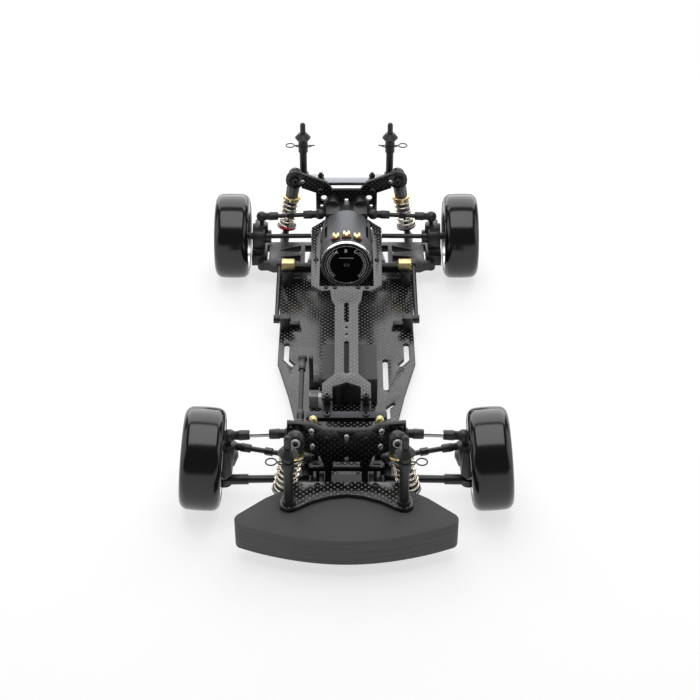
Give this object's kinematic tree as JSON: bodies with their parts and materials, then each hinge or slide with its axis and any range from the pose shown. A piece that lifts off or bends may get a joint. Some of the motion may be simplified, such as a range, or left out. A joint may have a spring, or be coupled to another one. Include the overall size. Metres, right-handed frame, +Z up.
{
  "type": "rc drift car",
  "caption": "Bare radio-controlled drift car chassis with sprung wheels, servo steering, rear motor, geared rear drive, carbon plates, body posts and foam bumper.",
  "frame": {"origin": "bottom centre of the bounding box, on the ground between the four tyres", "axes": "+Z up, +Y towards the tail of the car, +X towards the car's own left side"},
  "size_m": [0.2, 0.3682, 0.1048],
  "materials": {
    "black_plastic": "moulded nylon, fine satin",
    "black_steel": "black oxide",
    "bright_steel": "ground, bright",
    "carbon": "woven carbon fibre, satin lacquer",
    "chrome": "polished",
    "foam": "closed-cell foam, cut",
    "motor_steel": "satin grey",
    "rim": "silver",
    "servo_grey": "grey two-tone case",
    "shock_black": "black anodised, satin",
    "spring_steel": "pale gold plated wire",
    "tyre": "smooth hard drift compound"
  },
  "bodies": {
    "chassis": {"chassis_plate": "carbon", "upper_deck": "carbon", "bumper_brace": "carbon", "bumper_foam": "foam", "body_posts": "black_plastic", "front_shock_tower": "carbon", "front_bulkhead": "black_plastic", "servo_case": "servo_grey", "servo_bridge": "black_plastic", "motor_can": "motor_steel", "motor_endbell": "chrome", "gearbox_case": "black_plastic", "rear_shock_tower": "carbon"},
    "front_arm_left": {"front_arm_left": "black_steel"},
    "front_upper_link_left": {"front_upper_link_left": "bright_steel"},
    "kingpin_ball_left": {"kingpin_ball_left": "bright_steel"},
    "front_knuckle_left": {"front_knuckle_left": "black_plastic"},
    "front_wheel_left": {"front_wheel_left": "rim", "front_tyre_left": "tyre"},
    "tie_rod_left": {"tie_rod_left": "black_steel"},
    "front_shock_body_left": {"front_shock_body_left": "shock_black", "front_spring_left": "spring_steel"},
    "front_shock_shaft_left": {"front_shock_shaft_left": "bright_steel"},
    "rear_shock_body_left": {"rear_shock_body_left": "shock_black", "rear_spring_left": "spring_steel"},
    "rear_shock_shaft_left": {"rear_shock_shaft_left": "bright_steel"},
    "rear_arm_left": {"rear_arm_left": "black_plastic"},
    "rear_upper_link_left": {"rear_upper_link_left": "bright_steel"},
    "rear_hub_left": {"rear_hub_left": "black_plastic"},
    "rear_wheel_left": {"rear_wheel_left": "rim", "rear_tyre_left": "tyre"},
    "driveshaft_left": {"driveshaft_left": "bright_steel"},
    "battery_bar_left": {"battery_bar_left": "black_steel"},
    "front_arm_right": {"front_arm_right": "black_steel"},
    "front_upper_link_right": {"front_upper_link_right": "bright_steel"},
    "kingpin_ball_right": {"kingpin_ball_right": "bright_steel"},
    "front_knuckle_right": {"front_knuckle_right": "black_plastic"},
    "front_wheel_right": {"front_wheel_right": "rim", "front_tyre_right": "tyre"},
    "tie_rod_right": {"tie_rod_right": "black_steel"},
    "front_shock_body_right": {"front_shock_body_right": "shock_black", "front_spring_right": "spring_steel"},
    "front_shock_shaft_right": {"front_shock_shaft_right": "bright_steel"},
    "rear_shock_body_right": {"rear_shock_body_right": "shock_black", "rear_spring_right": "spring_steel"},
    "rear_shock_shaft_right": {"rear_shock_shaft_right": "bright_steel"},
    "rear_arm_right": {"rear_arm_right": "black_plastic"},
    "rear_upper_link_right": {"rear_upper_link_right": "bright_steel"},
    "rear_hub_right": {"rear_hub_right": "black_plastic"},
    "rear_wheel_right": {"rear_wheel_right": "rim", "rear_tyre_right": "tyre"},
    "driveshaft_right": {"driveshaft_right": "bright_steel"},
    "battery_bar_right": {"battery_bar_right": "black_steel"},
    "rack_carriage": {"rack_carriage": "black_plastic"},
    "bellcrank": {"bellcrank": "black_plastic"},
    "servo_horn": {"servo_horn": "black_plastic"},
    "servo_link": {"servo_link": "bright_steel"},
    "spool": {"spool": "bright_steel"},
    "bevel_shaft": {"bevel_shaft": "bright_steel"},
    "motor_rotor": {"motor_rotor": "bright_steel"}
  },
  "joints": [
    {"name": "front_bump_left", "type": "hinge", "parent": "chassis", "child": "front_arm_left", "pos_m": [0.02, -0.11565, 0.016], "axis": [0, -1, 0], "range_deg": [-6, 5.5], "stiffness_Nm_per_rad": 2, "springref_deg": -4.01},
    {"name": "front_link_swing_left", "type": "hinge", "parent": "chassis", "child": "front_upper_link_left", "pos_m": [0.0335, -0.11565, 0.0506], "axis": [0, -1, 0], "range_deg": [-9.34, 8.59]},
    {"name": "kingpin_tilt_left", "type": "hinge", "parent": "front_arm_left", "child": "kingpin_ball_left", "pos_m": [0.0735, -0.11565, 0.015], "axis": [0, -1, 0], "range_deg": [-5.8, 6.3]},
    {"name": "steer_left", "type": "hinge", "parent": "kingpin_ball_left", "child": "front_knuckle_left", "pos_m": [0.0735, -0.11565, 0.015], "axis": [-0.132, 0, 0.9913], "range_deg": [-35, 35]},
    {"name": "front_wheel_spin_left", "type": "hinge", "parent": "front_knuckle_left", "child": "front_wheel_left", "pos_m": [0.0855, -0.11565, 0.0315], "axis": [0.9962, 0, 0.0872], "continuous": true},
    {"name": "tie_rod_swing_left", "type": "hinge", "parent": "rack_carriage", "child": "tie_rod_left", "pos_m": [0.024, -0.11565, 0.0319], "axis": [0, -1, 0], "range_deg": [-7.43, 6.84]},
    {"name": "front_shock_swing_left", "type": "hinge", "parent": "chassis", "child": "front_shock_body_left", "pos_m": [0.0295, -0.12865, 0.057], "axis": [0, -1, 0], "range_deg": [-0.79, 0.73]},
    {"name": "front_shock_travel_left", "type": "slide", "parent": "front_shock_body_left", "child": "front_shock_shaft_left", "axis": [0.1961, 0, -0.9806], "range_m": [-0.00177, 0.00192], "deforming": ["front_spring_left"]},
    {"name": "rear_shock_swing_left", "type": "hinge", "parent": "chassis", "child": "rear_shock_body_left", "pos_m": [0.0378, 0.16885, 0.0673], "axis": [0, -1, 0], "range_deg": [-0.63, 0.59]},
    {"name": "rear_shock_travel_left", "type": "slide", "parent": "rear_shock_body_left", "child": "rear_shock_shaft_left", "axis": [0.1653, 0, -0.9862], "range_m": [-0.00263, 0.00286], "deforming": ["rear_spring_left"]},
    {"name": "rear_bump_left", "type": "hinge", "parent": "chassis", "child": "rear_arm_left", "pos_m": [0.02, 0.14135, 0.014], "axis": [0, -1, 0], "range_deg": [-6, 5.5], "stiffness_Nm_per_rad": 2, "springref_deg": -5.73},
    {"name": "rear_link_swing_left", "type": "hinge", "parent": "chassis", "child": "rear_upper_link_left", "pos_m": [0.0195, 0.14135, 0.0495], "axis": [0, -1, 0], "range_deg": [-6.23, 5.74]},
    {"name": "rear_hub_tilt_left", "type": "hinge", "parent": "rear_arm_left", "child": "rear_hub_left", "pos_m": [0.062, 0.14135, 0.0145], "axis": [0, -1, 0], "range_deg": [-5.8, 6.3]},
    {"name": "rear_wheel_spin_left", "type": "hinge", "parent": "rear_hub_left", "child": "rear_wheel_left", "pos_m": [0.0836, 0.14135, 0.03112], "axis": [0.9998, 0, 0.0175], "continuous": true},
    {"name": "driveshaft_swing_left", "type": "hinge", "parent": "chassis", "child": "driveshaft_left", "pos_m": [0.022, 0.14135, 0.03112], "axis": [0, -1, 0], "range_deg": [-7.13, 6.56]},
    {"name": "battery_bar_lift_left", "type": "hinge", "parent": "chassis", "child": "battery_bar_left", "pos_m": [0.0486, 0.05435, 0.016], "axis": [1, 0, 0], "range_deg": [0, 80]},
    {"name": "front_bump_right", "type": "hinge", "parent": "chassis", "child": "front_arm_right", "pos_m": [-0.02, -0.11565, 0.016], "axis": [0, 1, 0], "range_deg": [-6, 5.5], "stiffness_Nm_per_rad": 2, "springref_deg": -4.01},
    {"name": "front_link_swing_right", "type": "hinge", "parent": "chassis", "child": "front_upper_link_right", "pos_m": [-0.0335, -0.11565, 0.0506], "axis": [0, 1, 0], "range_deg": [-9.34, 8.59]},
    {"name": "kingpin_tilt_right", "type": "hinge", "parent": "front_arm_right", "child": "kingpin_ball_right", "pos_m": [-0.0735, -0.11565, 0.015], "axis": [0, 1, 0], "range_deg": [-5.8, 6.3]},
    {"name": "steer_right", "type": "hinge", "parent": "kingpin_ball_right", "child": "front_knuckle_right", "pos_m": [-0.0735, -0.11565, 0.015], "axis": [0.132, 0, 0.9913], "range_deg": [-35, 35]},
    {"name": "front_wheel_spin_right", "type": "hinge", "parent": "front_knuckle_right", "child": "front_wheel_right", "pos_m": [-0.0855, -0.11565, 0.0315], "axis": [0.9962, 0, -0.0872], "continuous": true},
    {"name": "tie_rod_swing_right", "type": "hinge", "parent": "rack_carriage", "child": "tie_rod_right", "pos_m": [-0.024, -0.11565, 0.0319], "axis": [0, 1, 0], "range_deg": [-7.43, 6.84]},
    {"name": "front_shock_swing_right", "type": "hinge", "parent": "chassis", "child": "front_shock_body_right", "pos_m": [-0.0295, -0.12865, 0.057], "axis": [0, 1, 0], "range_deg": [-0.79, 0.73]},
    {"name": "front_shock_travel_right", "type": "slide", "parent": "front_shock_body_right", "child": "front_shock_shaft_right", "axis": [-0.1961, 0, -0.9806], "range_m": [-0.00177, 0.00192], "deforming": ["front_spring_right"]},
    {"name": "rear_shock_swing_right", "type": "hinge", "parent": "chassis", "child": "rear_shock_body_right", "pos_m": [-0.0378, 0.16885, 0.0673], "axis": [0, 1, 0], "range_deg": [-0.63, 0.59]},
    {"name": "rear_shock_travel_right", "type": "slide", "parent": "rear_shock_body_right", "child": "rear_shock_shaft_right", "axis": [-0.1653, 0, -0.9862], "range_m": [-0.00263, 0.00286], "deforming": ["rear_spring_right"]},
    {"name": "rear_bump_right", "type": "hinge", "parent": "chassis", "child": "rear_arm_right", "pos_m": [-0.02, 0.14135, 0.014], "axis": [0, 1, 0], "range_deg": [-6, 5.5], "stiffness_Nm_per_rad": 2, "springref_deg": -5.73},
    {"name": "rear_link_swing_right", "type": "hinge", "parent": "chassis", "child": "rear_upper_link_right", "pos_m": [-0.0195, 0.14135, 0.0495], "axis": [0, 1, 0], "range_deg": [-6.23, 5.74]},
    {"name": "rear_hub_tilt_right", "type": "hinge", "parent": "rear_arm_right", "child": "rear_hub_right", "pos_m": [-0.062, 0.14135, 0.0145], "axis": [0, 1, 0], "range_deg": [-5.8, 6.3]},
    {"name": "rear_wheel_spin_right", "type": "hinge", "parent": "rear_hub_right", "child": "rear_wheel_right", "pos_m": [-0.0836, 0.14135, 0.03112], "axis": [0.9998, 0, -0.0175], "continuous": true},
    {"name": "driveshaft_swing_right", "type": "hinge", "parent": "chassis", "child": "driveshaft_right", "pos_m": [-0.022, 0.14135, 0.03112], "axis": [0, 1, 0], "range_deg": [-7.13, 6.56]},
    {"name": "battery_bar_lift_right", "type": "hinge", "parent": "chassis", "child": "battery_bar_right", "pos_m": [-0.0486, 0.05435, 0.016], "axis": [1, 0, 0], "range_deg": [0, 80]},
    {"name": "rack_travel", "type": "slide", "parent": "chassis", "child": "rack_carriage", "axis": [1, 0, 0], "range_m": [-0.00712, 0.00712]},
    {"name": "bellcrank_turn", "type": "hinge", "parent": "chassis", "child": "bellcrank", "pos_m": [-0.0203, -0.08665, 0.0306], "axis": [0, 0, 1], "range_deg": [-17.67, 17.67]},
    {"name": "servo_horn_turn", "type": "hinge", "parent": "chassis", "child": "servo_horn", "pos_m": [-0.023, -0.02165, 0.0175], "axis": [1, 0, 0], "range_deg": [-8.43, 8.43]},
    {"name": "servo_link_swing", "type": "hinge", "parent": "servo_horn", "child": "servo_link", "pos_m": [-0.0278, -0.02165, 0.0365], "axis": [1, 0, 0], "range_deg": [-8.43, 8.43]},
    {"name": "spool_spin", "type": "hinge", "parent": "chassis", "child": "spool", "pos_m": [0, 0.14135, 0.03112], "axis": [1, 0, 0], "continuous": true},
    {"name": "bevel_shaft_spin", "type": "hinge", "parent": "chassis", "child": "bevel_shaft", "pos_m": [0, 0.15155, 0.03112], "axis": [0, 1, 0], "continuous": true},
    {"name": "motor_spin", "type": "hinge", "parent": "chassis", "child": "motor_rotor", "pos_m": [0, 0.13035, 0.04237], "axis": [0, 1, 0], "continuous": true}
  ],
  "couplings": [
    {"joint": "front_link_swing_left", "follows": "front_bump_left", "ratio": 1.507},
    {"joint": "kingpin_tilt_left", "follows": "front_bump_left", "ratio": -1},
    {"joint": "tie_rod_swing_left", "follows": "front_bump_left", "ratio": 1.1889},
    {"joint": "front_shock_swing_left", "follows": "front_bump_left", "ratio": 0.11539},
    {"joint": "front_shock_travel_left", "follows": "front_bump_left", "m_per_rad": -0.017356},
    {"joint": "rear_shock_swing_left", "follows": "rear_bump_left", "ratio": 0.088603},
    {"joint": "rear_shock_travel_left", "follows": "rear_bump_left", "m_per_rad": -0.026365},
    {"joint": "rear_link_swing_left", "follows": "rear_bump_left", "ratio": 0.98823},
    {"joint": "rear_hub_tilt_left", "follows": "rear_bump_left", "ratio": -1},
    {"joint": "driveshaft_swing_left", "follows": "rear_bump_left", "ratio": 1.1382},
    {"joint": "front_link_swing_right", "follows": "front_bump_right", "ratio": 1.507},
    {"joint": "kingpin_tilt_right", "follows": "front_bump_right", "ratio": -1},
    {"joint": "tie_rod_swing_right", "follows": "front_bump_right", "ratio": 1.1889},
    {"joint": "front_shock_swing_right", "follows": "front_bump_right", "ratio": 0.11539},
    {"joint": "front_shock_travel_right", "follows": "front_bump_right", "m_per_rad": -0.017356},
    {"joint": "rear_shock_swing_right", "follows": "rear_bump_right", "ratio": 0.088603},
    {"joint": "rear_shock_travel_right", "follows": "rear_bump_right", "m_per_rad": -0.026365},
    {"joint": "rear_link_swing_right", "follows": "rear_bump_right", "ratio": 0.98823},
    {"joint": "rear_hub_tilt_right", "follows": "rear_bump_right", "ratio": -1},
    {"joint": "driveshaft_swing_right", "follows": "rear_bump_right", "ratio": 1.1382},
    {"joint": "steer_right", "follows": "steer_left", "ratio": 1},
    {"joint": "rack_travel", "follows": "steer_left", "m_per_rad": -0.011623},
    {"joint": "bellcrank_turn", "follows": "steer_left", "ratio": -0.49632},
    {"joint": "servo_horn_turn", "follows": "steer_left", "ratio": -0.2351},
    {"joint": "servo_link_swing", "follows": "steer_left", "ratio": 0.2351},
    {"joint": "rear_wheel_spin_right", "follows": "rear_wheel_spin_left", "ratio": 1},
    {"joint": "spool_spin", "follows": "rear_wheel_spin_left", "ratio": 1},
    {"joint": "bevel_shaft_spin", "follows": "rear_wheel_spin_left", "ratio": -2.15},
    {"joint": "motor_spin", "follows": "rear_wheel_spin_left", "ratio": 3.8969}
  ]
}
